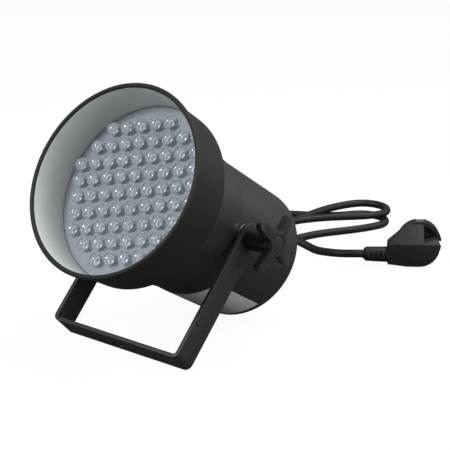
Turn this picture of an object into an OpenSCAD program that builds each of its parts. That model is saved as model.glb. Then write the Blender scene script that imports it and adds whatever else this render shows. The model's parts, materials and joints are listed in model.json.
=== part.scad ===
// Short stage spotlight: a black can with a flared hood, a plate of clear lamps inside it,
// a U-shaped yoke clamped by two star knobs, and a mains lead that lies behind it in a loose hank.
// The can stands tilted on its rear edge and on the crossbar of the yoke, with the floor at z = 0.

/* [Can] */
// Length of the can from its rear face to the front of the rim
can_len = 170; // [150:1:200]
// Loss of the can radius from its joint with the barrel to its rear edge
can_taper = 1.4; // [0:0.1:4]
// Radius of the rounded rear edge
can_edge_r = 5; // [3:0.5:8]
// Thickness of the sheet metal
sheet_t = 1; // [0.8:0.1:1.5]
// Outer radius of the front barrel at its open rear edge
barrel_rear_r = 52.4; // [51:0.1:56]
// Growth of the barrel radius from its rear edge to the hood
barrel_flare = 0.8; // [0:0.1:2]
// Length of the can that slips inside the barrel
barrel_overlap = 12; // [8:1:20]
// Angle of the can above the floor
tilt = 30.7; // [20:0.1:40]

/* [Hood] */
// Length of the hood from its shoulder to the front of the rim
hood_len = 39; // [30:1:50]
// Outer radius of the hood at its shoulder
hood_rear_r = 66; // [62:0.5:72]
// Outer radius of the rolled rim
rim_r = 70; // [68:0.5:76]
// Radius of the rolled bead at the rim
bead_r = 1.7; // [1.2:0.1:2.5]

/* [Lamps] */
// Depth of the lamp plate behind the front of the rim
plate_depth = 32.7; // [28:0.1:35]
// Thickness of the lamp plate
plate_t = 1.2; // [0.8:0.1:1.6]
// Gap between the lamp plate and the hood
plate_gap = 0.5; // [0.3:0.1:1.5]
// Diameter of one lamp
led_d = 10; // [8:0.5:10.5]
// Distance between lamps
led_pitch = 12; // [11.8:0.1:12.2]
// Height of a lamp above the plate
led_proud = 12; // [8:0.5:14]
// Angle of the rows of lamps against the pivot axis
led_turn = 16; // [0:1:45]
// Width of the flange at the foot of a lamp beyond its body
led_flange = 0.6; // [0.4:0.1:0.8]
// Thickness of the flange
led_flange_t = 1; // [0.6:0.1:1.2]
// Thickness of the circuit boards
board_t = 1.6; // [1:0.1:2]
// Radius of a post
plate_post_r = 2.2; // [2:0.1:2.4]

/* [Yoke] */
// Distance of the pivot axis behind the front of the rim
pivot_back = 92.5; // [88:0.5:98]
// Width of the flat bar
yoke_w = 20; // [16:1:24]
// Thickness of the flat bar
yoke_t = 3; // [2:0.5:4]
// Distance from the pivot axis to the outer face of the crossbar
yoke_len = 102.6; // [98:0.2:108]
// Gap between the barrel and an arm
arm_gap = 2; // [1.5:0.1:4]
// Outer radius of the bends
yoke_bend_r = 5; // [4.5:0.5:8]
// Diameter of the hole for a clamp bolt
mount_hole_d = 10.5; // [8:0.5:13]

/* [Knobs] */
// Radius of the star over its arms
knob_r = 24; // [22:0.5:28]
// Thickness of the star at its hub
knob_h = 7.4; // [6.5:0.1:9]
// Fall of the front of the star from its hub to the tips
knob_fall = 3; // [1:0.2:4]
// Radius of the round tip of an arm
knob_tip_r = 3.4; // [3:0.1:4]
// Radius of the neck
neck_r = 8.5; // [8:0.5:10]
// Length of the neck
neck_len = 16; // [12:0.5:18]
// Angle of the arms
knob_turn = -18; // [-45:1:45]
// Diameter of the threaded stud
stud_d = 8; // [6:0.5:9]
// Length of stud inside the can
stud_reach = 12; // [8:1:16]
// Thickness of the washer under a knob
washer_t = 1.5; // [1:0.1:2.5]

/* [Label] */
// Length of the blank label along the can
label_len = 57; // [40:1:60]
// Distance of the blank label behind the barrel
label_back = 19; // [10:1:20]
// Angle that the blank label covers
label_angle = 90; // [60:1:100]
// Thickness of the blank label
label_t = 0.2; // [0.1:0.05:0.4]

/* [Cord] */
// Diameter of the mains lead
cord_d = 6.8; // [6:0.1:6.9]
// Distance of the gland below the can axis
gland_drop = 20; // [18:0.5:24]
// Length of the gland outside the can
gland_len = 22; // [20:0.5:24]
// Radius of the gland thread
gland_thread_r = 7.5; // [6:0.5:8]
// Radius of the plug face
plug_r = 18; // [17.5:0.1:19]
// Length of a plug pin
pin_len = 19; // [17:0.5:20]
// Diameter of a plug pin
pin_d = 4.8; // [4:0.1:5]
// Length of the ribbed strain relief
relief_len = 20; // [20:0.5:24]
// Number of grooves on the strain relief
relief_grooves = 4; // [2:1:5]

/* [Supply] */
// Width of the supply board
supply_w = 64; // [62:1:68]
// Height of the supply board
supply_h = 40; // [38:1:42]
// Height of the posts under the supply board
post_h = 12; // [10:1:16]
// Radius of the posts under the supply board
post_r = 3; // [2.5:0.1:3.5]

/* [Hidden] */
$fn = 64;
// Facets of the large turned pieces
round_sides = 128;
// Overshoot of a cut past the face it goes through
cut = 1;

// Clearances
run_fit = 0.05;
stud_room = 0.3;
led_room = 0.15;
face_gap = 0.05;
seat_gap = 0.1;

// Heights along the can axis, from the rear face
pivot_z = can_len - pivot_back;
shoulder_z = can_len - hood_len;
edge_gap = 7.5;
barrel_z = pivot_z + edge_gap;
plate_z = can_len - plate_depth;
plate_back_z = plate_z - plate_t;
board_front_z = plate_back_z - led_flange_t;
board_back_z = board_front_z - board_t;
shoulder_front_z = shoulder_z + sheet_t;

// Radii of the can and the barrel
joint_r = barrel_rear_r - sheet_t;
can_rear_r = joint_r - can_taper;
barrel_front_r = barrel_rear_r + barrel_flare;
function can_r(z) = can_rear_r + (joint_r - can_rear_r) * (z - can_edge_r) / (barrel_z - can_edge_r);
rim_wall_r = rim_r - 2 * bead_r + sheet_t;
bead_z = can_len - bead_r;
function hood_r(z) = hood_rear_r + (rim_wall_r - hood_rear_r) * (z - shoulder_z) / (bead_z - shoulder_z);
plate_r = hood_r(plate_back_z) - sheet_t - plate_gap;

// Standing pose: the rear edge and the crossbar both touch the floor
pivot_h = (can_rear_r - can_edge_r) * cos(tilt) + (pivot_z - can_edge_r) * sin(tilt) + can_edge_r;
yoke_corner = sqrt(pow(yoke_len, 2) + pow(yoke_w / 2, 2));
yoke_drop = asin(pivot_h / yoke_corner) - atan(yoke_w / 2 / yoke_len);
front_y = -(bead_z - pivot_z) * cos(tilt) - (rim_r - bead_r) * sin(tilt) - bead_r;
rear_y = (pivot_z - can_edge_r) * cos(tilt) + (can_rear_r - can_edge_r) * sin(tilt) + can_edge_r;
pivot_y = -(front_y + rear_y) / 2;

// Pivot stack, outward from the can wall
stud_r = stud_d / 2;
insert_wall = 2;
insert_r = stud_r + insert_wall;
insert_lip = 3;
insert_flange_r = insert_r + insert_lip;
insert_flange_t = 2;
stud_end_room = 1;
insert_len = stud_reach - stud_end_room;
wall_in_r = can_r(pivot_z) - sheet_t;
insert_seat_x = sqrt(pow(wall_in_r - seat_gap, 2) - pow(insert_flange_r, 2)) - seat_gap;
bush_edge_room = 1;
bush_hub_r = edge_gap - bush_edge_room;
bush_seat_x = max(can_r(pivot_z + bush_hub_r), can_r(pivot_z - bush_hub_r));
bush_flange_x = barrel_rear_r + stud_room;
bush_lip = 2.5;
bush_flange_r = bush_hub_r + bush_lip;
bush_wall = 2;
spigot_r = stud_r + bush_wall;
arm_in = barrel_front_r + arm_gap;
arm_out = arm_in + yoke_t;
bend_x = arm_out - yoke_bend_r;
washer_x = arm_out + face_gap;
washer_set_in = 0.5;
washer_r = neck_r - washer_set_in;
neck_x = washer_x + washer_t + face_gap;
star_x = neck_x + neck_len;
knob_end_x = star_x + knob_h;
stud_cover = 4;
stud_end_x = knob_end_x - stud_cover;

// Star knob
valley_r = 8;
valley_at = sqrt(2) * (knob_tip_r + valley_r);
hub_r = norm([knob_tip_r + valley_r, knob_tip_r]);
hub_flat_r = 9;
solid_arm = 0;
knob_skin = 1.5;
star_arms = 4;
knob_cap_r = 5.5;
knob_cap_t = 1.6;
knob_cap_gap = 0.5;

// Lamps
led_rows = [5, 7, 9, 9, 9, 9, 9, 7, 5];
led_mid = (len(led_rows) - 1) / 2;
led_cells = [for (row = [0 : len(led_rows) - 1]) for (col = [0 : led_rows[row] - 1])
    [col - (led_rows[row] - 1) / 2, row - led_mid]];
led_colours = 3;
led_r = led_d / 2;
led_shift = led_colours * len(led_rows);
led_reach = led_pitch * max([for (cell = led_cells) norm(cell)]) + led_r + led_flange;
board_set_in = 1.5;
board_r = plate_r - board_set_in;
plate_posts_n = 4;
post_set_in = 0.6;
post_ring_r = (led_reach + board_r) / 2 - post_set_in;
post_step = 0.8;
resistor_n = 16;
resistor_size = [6.3, 3.2, 0.6];
resistor_gap = 2;
plate_screw_head_r = 2.75;
plate_screw_head_h = 2;
plate_screw_r = 1.2;
plate_screw_len = 3;

// Gland
gland_y = -gland_drop;
gland_hex_wall = 3.5;
gland_hex_r = gland_thread_r + gland_hex_wall;
gland_hex_t = 5;
gland_nut_t = 4;
gland_cap_wall = 2;
gland_cap_r = gland_thread_r + gland_cap_wall;
gland_taper = 2.5;
gland_nose_r = gland_cap_r - gland_taper;
gland_nose = 5;
gland_in = 9;
cord_r = cord_d / 2;
cable_end_z = 14;

// Supply board and what stands on it
supply_gap = 2.3;
supply_corner_r = can_rear_r - sheet_t - supply_gap;
supply_y = sqrt(pow(supply_corner_r, 2) - pow(supply_w / 2, 2)) - supply_h / 2;
supply_z = sheet_t + post_h;
function on_supply(p) = [p[0], supply_y + p[1]];
top_z = supply_z + board_t;
post_inset = [4, 3];
post_x = supply_w / 2 - post_inset[0];
post_y = supply_h / 2 - post_inset[1];
screw_head_r = 2.8;
screw_head_h = 2;
screw_r = 1.5;
screw_len = 6;
core_place = [-15, 5];
core_at = on_supply(core_place);
core_size = [30, 10, 25];
core_window = [6, 17];
core_limb = 8;
coil_wall = 5.8;
coil_room = 0.1;
capacitor_place = [6, 10];
capacitor_at = on_supply(capacitor_place);
capacitor_r = 6;
capacitor_h = 22;
transistor_place = [6, -4];
transistor_at = on_supply(transistor_place);
transistor_step = 9;
transistor_size = [8, 4.5, 14];
chip_place = [16, 1];
chip_at = on_supply(chip_place);
chip_size = [16, 4, 4];
fuse_place = [8, -15];
fuse_at = on_supply(fuse_place);
fuse_r = 2.6;
fuse_len = 20;
fuse_h = 5;
fuse_z = top_z + fuse_h;
clip_size = [4, 7, 6];
terminal_place = [-17, -15];
terminal_at = on_supply(terminal_place);
terminal_size = [14, 9, 11];
terminal_step = 4.4;
terminal_screw_r = 1.6;
terminal_screw_h = 0.8;
header_place = [21, 9];
header_at = on_supply(header_place);
header_size = [14, 6, 8];
header_corner_r = norm(header_at + [header_size[0], header_size[1]] / 2);
resistor_ring_r = header_corner_r + resistor_gap + resistor_size[0] / 2;
ribbon_size = [12, 0.9];
earth_screw_r = 2;
earth_head_r = 4;
earth_head_h = 2.5;
earth_gap = 3.3;
earth_angle = 212;
earth_ring_r = can_rear_r - can_edge_r - earth_head_r - earth_gap;
earth_at = earth_ring_r * [cos(earth_angle), sin(earth_angle)];
wire_r = 0.8;
wire_spread = [1.1, 1.7];
wire_knee = 3;
wire_entry_h = 4;

// Lead, hank and tail. Distances along, across and above the floor
tube_sides = 8;
straight = cord_d;
gland_out = [0, pivot_y + (pivot_z + gland_len) * cos(tilt) - gland_drop * sin(tilt),
    pivot_h - (pivot_z + gland_len) * sin(tilt) - gland_drop * cos(tilt)];
gland_dir = [0, cos(tilt), -sin(tilt)];
lead_points = [[-0.4, 99.8, 6.65], [-1.5, 109.8, 4.5], [-5.8, 122, 3.5], [-16.9, 136.8, 3.5],
    [-38, 147, 3.45], [-66, 149, 3.45], [-94, 151, 3.45], [-120, 161, 3.45], [-137, 183, 3.45],
    [-143, 210, 3.45], [-141, 240, 3.45], [-131, 267, 3.45], [-114, 287, 3.45]];
tail_points = [[-79.4, 248.8, 11], [-78.6, 237.8, 11], [-73.6, 227.6, 11.1], [-64.8, 219.7, 11.2],
    [-53.3, 215.8, 10.2], [-36.3, 215.6, 6.5], [-25.7, 213.9, 5.1], [-12.7, 210.6, 7.2], [-3.8, 210, 8.4],
    [4.6, 212, 9.3]];
hank_at = [-69, 258];
hank_turn = 72;
hank_half = 66;
hank_bend_r = 20.5;
hank_waist = 8;
hank_waist_len = 28;
hank_gap = 0.8;
hank_pitch = cord_d + hank_gap;
hank_shift = [7, 7];
hank_join = [25, 10];
hank_leave = 12;
hank_inward = 20;
hank_climb = [1.4, -0.1];
bend_steps = 9;
run_steps = 9;
join_steps = 3;
leave_steps = 5;
route_steps = 2;

// Plug, seen along its pins
plug_at = [49.3, 256.4];
plug_turn = 38.4;
plug_face = 10;
plug_back = -2;
grip_back = -15;
grip_r = 16.5;
grip_shift = -1.5;
ridge_z = 2.5;
facet_x = -12.2;
grip_span = 4 * plug_r;
hollow_r = 15;
hollow_deep = 4;
hollow_side = 2;
hollow_foot = [4, 7.5];
grip_hollow = [[hollow_side, plug_r], [hollow_side, hollow_foot[0]], [plug_r, hollow_foot[1]],
    [plug_r, plug_r]];
pin_gap = 19;
pin_collar = 0.6;
pin_root_r = pin_d / 2 + pin_collar;
relief_drop = 8;
relief_back = (grip_back + plug_back) / 2;
relief_x = -27.4;
relief_root_r = 6.5;
relief_tip_r = 5.9;
relief_nose = 2;
relief_lip = 0.4;
neck_low = -14.7;
neck_foot_x = -12;
grip_outline = [[relief_x, neck_low], [relief_x, ridge_z], [facet_x, grip_r], [grip_shift, grip_r],
    [grip_shift, -grip_r], [neck_foot_x, -grip_r]];
groove_w = 1.5;
groove_deep = 1.8;
groove_half = 4.6;
clip_w = 7;
clip_t = 1;
clip_len = 9;
clip_deep = 1.6;
guide_size = [3, 4.5];
relief_end = plug_point([relief_x - relief_len, relief_back, -relief_drop]);
relief_dir = plug_point([relief_x, relief_back, -relief_drop]) - relief_end;

// Placing
module in_can() {
    translate([0, pivot_y, pivot_h]) rotate([90 - tilt, 0, 0]) translate([0, 0, -pivot_z]) children();
}

module in_yoke() {
    translate([0, pivot_y, pivot_h]) rotate([yoke_drop - 90, 0, 0]) children();
}

module in_plug() {
    translate([plug_at[0], plug_at[1], plug_r]) rotate([0, 0, plug_turn]) children();
}

function plug_point(p) = [plug_at[0] + p[0] * cos(plug_turn) - p[1] * sin(plug_turn),
    plug_at[1] + p[0] * sin(plug_turn) + p[1] * cos(plug_turn), plug_r + p[2]];

module both_sides() {
    children();
    mirror([1, 0, 0]) children();
}

// Round bar along the pivot axis, from one distance to another
module pivot_bar(from, to, r) {
    translate([from, 0, pivot_z]) rotate([0, 90, 0]) cylinder(r = r, h = to - from);
}

// Box that stands on the supply board
module on_board(at, size) {
    translate([at[0] - size[0] / 2, at[1] - size[1] / 2, top_z]) cube(size);
}

// Tube swept along a list of points
function unit(v) = v / norm(v);
function heading(p, i) = unit(p[min(i + 1, len(p) - 1)] - p[max(i - 1, 0)]);
function ring(p, i, r, n) = let (t = heading(p, i), side = unit(cross([0, 0, 1], t)), up = cross(t, side))
    [for (k = [0 : n - 1]) p[i] + r * (cos(360 * k / n) * side + sin(360 * k / n) * up)];

module tube(p, r, n) {
    rings = len(p);
    points = [for (i = [0 : rings - 1]) each ring(p, i, r, n)];
    sides = [for (i = [0 : rings - 2]) for (k = [0 : n - 1]) let (a = i * n + k, b = i * n + (k + 1) % n)
        each [[a, a + n, b], [b, a + n, b + n]]];
    caps = [for (k = [1 : n - 2]) each [[0, k, k + 1],
        [(rings - 1) * n, (rings - 1) * n + k + 1, (rings - 1) * n + k]]];
    polyhedron(points, concat(sides, caps));
}

// Smooth curve through a list of points
function curve_point(a, b, c, d, t) = 0.5 * (2 * b + (c - a) * t + (2 * a - 5 * b + 4 * c - d) * pow(t, 2)
    + (3 * b - a - 3 * c + d) * pow(t, 3));
function smooth_route(p, n) = let (last = len(p) - 1) concat([for (i = [0 : last - 1]) for (t = steps(n))
    curve_point(p[max(i - 1, 0)], p[i], p[i + 1], p[min(i + 2, last)], t)], [p[last]]);

// Hank: stretched loops that narrow at the waist, the second lying on the first
function ease(t) = let (u = min(max(t, 0), 1)) u * u * (3 - 2 * u);
function half_width(a) = hank_bend_r - hank_waist * exp(-pow(a / hank_waist_len, 2));
function hank_join_at(t) = [hank_half - hank_join[0] * (1 - t),
    hank_bend_r + hank_join[1] * pow(1 - t, 2), 0];
function hank_bend(t, end) = end * [hank_half + hank_bend_r * sin(180 * t), hank_bend_r * cos(180 * t), 0];
function hank_front(t) = let (a = hank_half * (1 - 2 * t)) [a, -half_width(a), 0];
function hank_rear(t) = let (a = hank_half * (2 * t - 1), c = ease(hank_climb[0] * t + hank_climb[1]))
    [a + c * hank_shift[0], half_width(a) + c * hank_shift[1], c * hank_pitch];
function hank_upper(p) = [p[0] + hank_shift[0], p[1] + hank_shift[1], hank_pitch];
function hank_last(t) = [hank_half + hank_shift[0] + (hank_leave - hank_half - hank_shift[0]) * t,
    hank_shift[1] - hank_bend_r + hank_inward * ease(t), hank_pitch];
function hank_place(p) = [hank_at[0] + p[0] * cos(hank_turn) - p[1] * sin(hank_turn),
    hank_at[1] + p[0] * sin(hank_turn) + p[1] * cos(hank_turn), p[2] + cord_r];
function steps(n) = [for (k = [0 : n - 1]) k / n];
function hank_route(bend, run) = [for (p = concat(
    [for (t = steps(join_steps)) hank_join_at(t)], [for (t = steps(bend)) hank_bend(t, 1)],
    [for (t = steps(run)) hank_front(t)], [for (t = steps(bend)) hank_bend(t, -1)],
    [for (t = steps(run)) hank_rear(t)], [for (t = steps(bend)) hank_upper(hank_bend(t, 1))],
    [for (t = steps(leave_steps)) hank_last(t)], [hank_last(1)])) hank_place(p)];
hank_curve = hank_route(bend_steps, run_steps);
hank_start = hank_curve[0];
hank_start_dir = unit(hank_curve[1] - hank_curve[0]);
hank_end = hank_curve[len(hank_curve) - 1];
hank_end_dir = unit(hank_end - hank_curve[len(hank_curve) - 2]);
hank_tube = concat([hank_start - straight * hank_start_dir], hank_curve,
    [hank_end + straight * hank_end_dir]);

// Least gap of the hank to itself, measured between points that are not neighbours on the tube
fine_steps = 40;
fine = hank_route(fine_steps, fine_steps);
near = 12;
least_gap = min([for (i = [0 : len(fine) - near - 1]) for (j = [i + near : len(fine) - 1])
    norm(fine[i] - fine[j])]) - cord_d;
echo("least gap of the hank to itself, mm", least_gap);

lead_curve = smooth_route(concat([gland_out, gland_out + straight * gland_dir], lead_points,
    [hank_tube[0] - straight * hank_start_dir, hank_tube[0]]), route_steps);
tail_curve = let (start = hank_tube[len(hank_tube) - 1])
    smooth_route(concat([start, start + straight * hank_end_dir], tail_points,
        [relief_end - straight * unit(relief_dir), relief_end]), route_steps);

// Hood: a spun cone with a rolled bead at the rim
module hood() {
    foot_r = hood_r(shoulder_z);
    wall_r = hood_r(bead_z);
    color("#232524") in_can() rotate_extrude($fn = round_sides) {
        polygon([[foot_r, shoulder_z], [wall_r, bead_z], [wall_r - sheet_t, bead_z],
            [foot_r - sheet_t, shoulder_z]]);
        translate([rim_r - bead_r, bead_z]) circle(bead_r);
    }
}

// Flat ring that closes the hood round the barrel
module shoulder_ring() {
    color("#232524") in_can() difference() {
        translate([0, 0, shoulder_z])
            cylinder(r = hood_r(shoulder_z) - sheet_t, h = sheet_t, $fn = round_sides);
        translate([0, 0, shoulder_z - cut])
            cylinder(r = barrel_front_r - sheet_t, h = sheet_t + 2 * cut, $fn = round_sides);
        each_plate_post() translate([0, 0, shoulder_z - cut])
            cylinder(r = plate_screw_r + run_fit, h = sheet_t + 2 * cut);
    }
}

// Tube that slips over the front of the can
module barrel() {
    color("#262827") in_can() rotate_extrude($fn = round_sides) polygon([[joint_r, barrel_z],
        [barrel_rear_r, barrel_z], [barrel_front_r, shoulder_z], [barrel_front_r - sheet_t, shoulder_z]]);
}

module each_plate_post() {
    for (k = [0 : plate_posts_n - 1]) rotate(led_turn + 360 * k / plate_posts_n)
        translate([post_ring_r, 0, 0]) children();
}

// Drawn can with a closed rear end, holes for the pivots, the gland and the earth screw
module rear_can() {
    top = barrel_z + barrel_overlap;
    color("#2b2d2c") in_can() difference() {
        rotate_extrude($fn = round_sides) difference() {
            can_outline(0, top);
            can_outline(sheet_t, top + cut);
        }
        both_sides() pivot_bar(insert_seat_x - cut, can_r(pivot_z) + cut, insert_r);
        translate([0, gland_y, -cut]) cylinder(r = gland_thread_r, h = sheet_t + 2 * cut);
        translate([earth_at[0], earth_at[1], -cut]) cylinder(r = earth_screw_r, h = sheet_t + 2 * cut);
    }
}

// Half section of the can, moved inward by a wall
module can_outline(wall, top) {
    edge = can_edge_r - wall;
    polygon([[0, can_edge_r], [can_rear_r - wall, can_edge_r], [joint_r - wall, barrel_z],
        [joint_r - wall, top], [0, top]]);
    translate([0, wall]) square([can_rear_r - can_edge_r, edge]);
    translate([can_rear_r - can_edge_r, can_edge_r]) intersection() {
        circle(edge);
        translate([0, -edge]) square(edge);
    }
}

// Light grey plate with a hole for each lamp
module led_plate() {
    color("#b9bcbd") in_can() difference() {
        translate([0, 0, plate_back_z]) cylinder(r = plate_r, h = plate_t, $fn = round_sides);
        each_led() translate([0, 0, plate_back_z - cut])
            cylinder(r = led_r + led_room, h = plate_t + 2 * cut);
    }
}

module each_led(k = -1) {
    rotate(led_turn) for (cell = led_cells) if (k < 0 || (cell[0] + cell[1] + led_shift) % led_colours == k)
        translate([led_pitch * cell[0], led_pitch * cell[1], 0]) children();
}

// Round board behind the plate
module led_board() {
    color("#1f5a36") in_can() difference() {
        translate([0, 0, board_back_z]) cylinder(r = board_r, h = board_t, $fn = round_sides);
        each_plate_post() translate([0, 0, board_back_z - cut])
            cylinder(r = plate_post_r + run_fit, h = board_t + 2 * cut);
    }
}

// Clear lamp: flange, round body and dome
module led() {
    dome_z = plate_z + led_proud - led_r;
    translate([0, 0, board_front_z]) cylinder(r = led_r + led_flange, h = led_flange_t);
    translate([0, 0, board_front_z]) cylinder(r = led_r, h = dome_z - board_front_z);
    translate([0, 0, dome_z]) sphere(led_r);
}

module red_leds() {
    color("#aab0b8") in_can() each_led(0) led();
}

module green_leds() {
    color("#aab0b8") in_can() each_led(1) led();
}

module blue_leds() {
    color("#aab0b8") in_can() each_led(2) led();
}

// Row of resistors in a ring on the back of the lamp board
module led_resistors() {
    color("#1b1b1b") in_can() for (k = [0 : resistor_n - 1]) rotate(360 * k / resistor_n)
        translate([resistor_ring_r, 0, board_back_z - resistor_size[2] / 2])
            cube(resistor_size, center = true);
}

// Stepped posts between the shoulder, the board and the plate
module plate_posts() {
    color("silver") in_can() each_plate_post() difference() {
        union() {
            translate([0, 0, shoulder_front_z])
                cylinder(r = plate_post_r, h = plate_back_z - shoulder_front_z);
            translate([0, 0, shoulder_front_z])
                cylinder(r = plate_post_r + post_step, h = board_back_z - shoulder_front_z);
        }
        translate([0, 0, shoulder_front_z - cut])
            cylinder(r = plate_screw_r, h = plate_screw_len - sheet_t + cut);
    }
}

module plate_screws() {
    color("dimgray") in_can() each_plate_post() translate([0, 0, shoulder_z]) {
        translate([0, 0, -plate_screw_head_h]) cylinder(r = plate_screw_head_r, h = plate_screw_head_h);
        cylinder(r = plate_screw_r, h = plate_screw_len);
    }
}

// Threaded inserts in the can wall
module pivot_inserts() {
    color("silver") in_can() both_sides() difference() {
        union() {
            pivot_bar(wall_in_r - insert_len, can_r(pivot_z), insert_r);
            pivot_bar(insert_seat_x - insert_flange_t, insert_seat_x, insert_flange_r);
        }
        pivot_bar(wall_in_r - insert_len - cut, can_r(pivot_z) + cut, stud_r + run_fit);
    }
}

// Stepped bushes that the yoke turns on
module pivot_bushes() {
    color("#b5b8b8") in_can() both_sides() difference() {
        union() {
            pivot_bar(bush_seat_x, bush_flange_x, bush_hub_r);
            pivot_bar(bush_flange_x, arm_in - face_gap, bush_flange_r);
            pivot_bar(arm_in - face_gap, arm_out - face_gap, spigot_r);
        }
        pivot_bar(bush_seat_x - cut, arm_out + cut, stud_r + stud_room);
    }
}

// Flat bar bent into a U, with round ends at the pivots, between two planes across it
module yoke_bar(low, high) {
    color("#262827") in_yoke() intersection() {
        difference() {
            rotate([90, 0, 0]) linear_extrude(height = yoke_w, center = true) difference() {
                yoke_outline(arm_out, yoke_len, yoke_bend_r);
                yoke_outline(arm_in, yoke_len - yoke_t, yoke_bend_r - yoke_t);
            }
            through_arms() cylinder(r = spigot_r + run_fit, h = 2 * (arm_out + cut));
            translate([0, 0, -yoke_len - cut]) cylinder(d = mount_hole_d, h = yoke_t + 2 * cut);
        }
        union() {
            through_arms() cylinder(r = yoke_w / 2, h = 2 * (arm_out + cut));
            translate([-arm_out - cut, -yoke_w / 2, -yoke_len - cut])
                cube([2 * (arm_out + cut), yoke_w, yoke_len + cut]);
        }
        translate([low, -yoke_w, -yoke_len - cut]) cube([high - low, 2 * yoke_w, yoke_len + yoke_w]);
    }
}

module yoke_crossbar() {
    yoke_bar(-bend_x, bend_x);
}

module yoke_arm_left() {
    yoke_bar(-arm_out - cut, -bend_x);
}

module yoke_arm_right() {
    yoke_bar(bend_x, arm_out + cut);
}

module through_arms() {
    translate([-arm_out - cut, 0, 0]) rotate([0, 90, 0]) children();
}

// Upright U, open at the top, with round lower corners
module yoke_outline(half, depth, r) {
    top = yoke_w;
    translate([-half, r - depth]) square([2 * half, depth - r + top]);
    translate([r - half, -depth]) square([2 * (half - r), r + cut]);
    for (side = [-1, 1]) translate([side * (half - r), r - depth]) circle(r);
}

module clamp_washers() {
    color("#1c1d1d") in_can() both_sides() difference() {
        pivot_bar(washer_x, washer_x + washer_t, washer_r);
        pivot_bar(washer_x - cut, washer_x + washer_t + cut, stud_r + stud_room);
    }
}

// Outline of the star: a hub with four hollowed valleys and four straight arms
module star_outline() {
    difference() {
        circle(hub_r);
        each_arm() rotate(180 / star_arms) translate([valley_at, 0]) circle(valley_r);
    }
    each_arm() star_arm(solid_arm);
}

module each_arm() {
    for (k = [0 : star_arms - 1]) rotate(360 * k / star_arms) children();
}

module star_arm(skin) {
    tip_x = knob_r - knob_tip_r;
    half_w = knob_tip_r - skin;
    translate([0, -half_w]) square([tip_x, 2 * half_w]);
    translate([tip_x, 0]) circle(half_w);
}

// Star whose front falls from the hub to the tips
module star() {
    intersection() {
        linear_extrude(height = knob_h) star_outline();
        union() {
            cylinder(r = knob_r + cut, h = knob_h - knob_fall);
            translate([0, 0, knob_h - knob_fall]) cylinder(r1 = knob_r, r2 = hub_flat_r, h = knob_fall);
        }
    }
}

// Star knob on a neck, with hollow arms, a seat for its cap and a hole for its stud
module knob() {
    translate([0, 0, pivot_z]) rotate([0, 90, 0]) difference() {
        union() {
            translate([0, 0, neck_x]) cylinder(r = neck_r, h = neck_len);
            translate([0, 0, star_x]) rotate(knob_turn) star();
        }
        translate([0, 0, star_x - cut]) rotate(knob_turn)
            linear_extrude(height = knob_h - knob_fall - knob_skin + cut) difference() {
                each_arm() star_arm(knob_skin);
                circle(neck_r + knob_skin / 2);
            }
        translate([0, 0, knob_end_x - knob_cap_t])
            cylinder(r = knob_cap_r + knob_cap_gap, h = knob_cap_t + cut);
        translate([0, 0, neck_x - cut]) cylinder(r = stud_r, h = stud_end_x - neck_x + cut);
    }
}

module knob_cap() {
    pivot_bar(knob_end_x - knob_cap_t, knob_end_x, knob_cap_r);
}

module knob_stud() {
    pivot_bar(wall_in_r - stud_reach, stud_end_x, stud_r);
}

module knob_right() {
    color("#1a1b1b") in_can() knob();
}

module knob_left() {
    color("#1a1b1b") in_can() mirror([1, 0, 0]) knob();
}

module knob_right_cap() {
    color("#232424") in_can() knob_cap();
}

module knob_left_cap() {
    color("#232424") in_can() mirror([1, 0, 0]) knob_cap();
}

module knob_right_stud() {
    color("silver") in_can() knob_stud();
}

module knob_left_stud() {
    color("silver") in_can() mirror([1, 0, 0]) knob_stud();
}

// Blank label on the underside of the can
module blank_label() {
    top = barrel_z - label_back;
    low = top - label_len;
    inner = [can_r(low) + face_gap, can_r(top) + face_gap];
    color("#8a8d8c") in_can() rotate(-90 - label_angle / 2)
        rotate_extrude(angle = label_angle, $fn = round_sides) polygon([[inner[0], low],
            [inner[0] + label_t, low], [inner[1] + label_t, top], [inner[1], top]]);
}

// Cable gland: hexagon and thread, nut inside, rounded cap outside
module gland_body() {
    color("#151616") in_can() translate([0, gland_y, 0]) difference() {
        union() {
            translate([0, 0, -gland_hex_t]) cylinder(r = gland_hex_r, h = gland_hex_t, $fn = 6);
            translate([0, 0, -gland_hex_t]) cylinder(r = gland_thread_r, h = gland_hex_t + gland_in);
        }
        translate([0, 0, -gland_hex_t - cut]) cylinder(r = cord_r, h = gland_hex_t + gland_in + 2 * cut);
    }
}

module gland_locknut() {
    color("#151616") in_can() translate([0, gland_y, sheet_t]) difference() {
        cylinder(r = gland_hex_r, h = gland_nut_t, $fn = 6);
        translate([0, 0, -cut]) cylinder(r = gland_thread_r, h = gland_nut_t + 2 * cut);
    }
}

module gland_cap() {
    straight_z = gland_nose - gland_len;
    color("#151616") in_can() translate([0, gland_y, 0]) difference() {
        union() {
            translate([0, 0, straight_z]) cylinder(r = gland_cap_r, h = -gland_hex_t - straight_z);
            translate([0, 0, -gland_len]) cylinder(r1 = gland_nose_r, r2 = gland_cap_r, h = gland_nose);
        }
        translate([0, 0, -gland_len - cut]) cylinder(r = cord_r, h = gland_len + cut);
    }
}

// End of the lead, through the gland into the can
module cable_end() {
    color("#141414") in_can() translate([0, gland_y, -gland_len])
        cylinder(r = cord_r, h = gland_len + cable_end_z);
}

// Three wires that fan out from the end of the lead to the terminals
module mains_wires() {
    mouth_y = terminal_at[1] - terminal_size[1] / 2;
    color("saddlebrown") in_can() for (k = [-1, 0, 1]) {
        from = [k * wire_spread[0], gland_y + k * wire_spread[1], cable_end_z + wire_r];
        to = [terminal_at[0] + k * terminal_step, mouth_y, top_z + wire_entry_h];
        knee = to - [0, wire_knee, 0];
        rod(from, knee, wire_r);
        translate(knee) sphere(wire_r);
        rod(knee, to, wire_r);
    }
}

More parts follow.
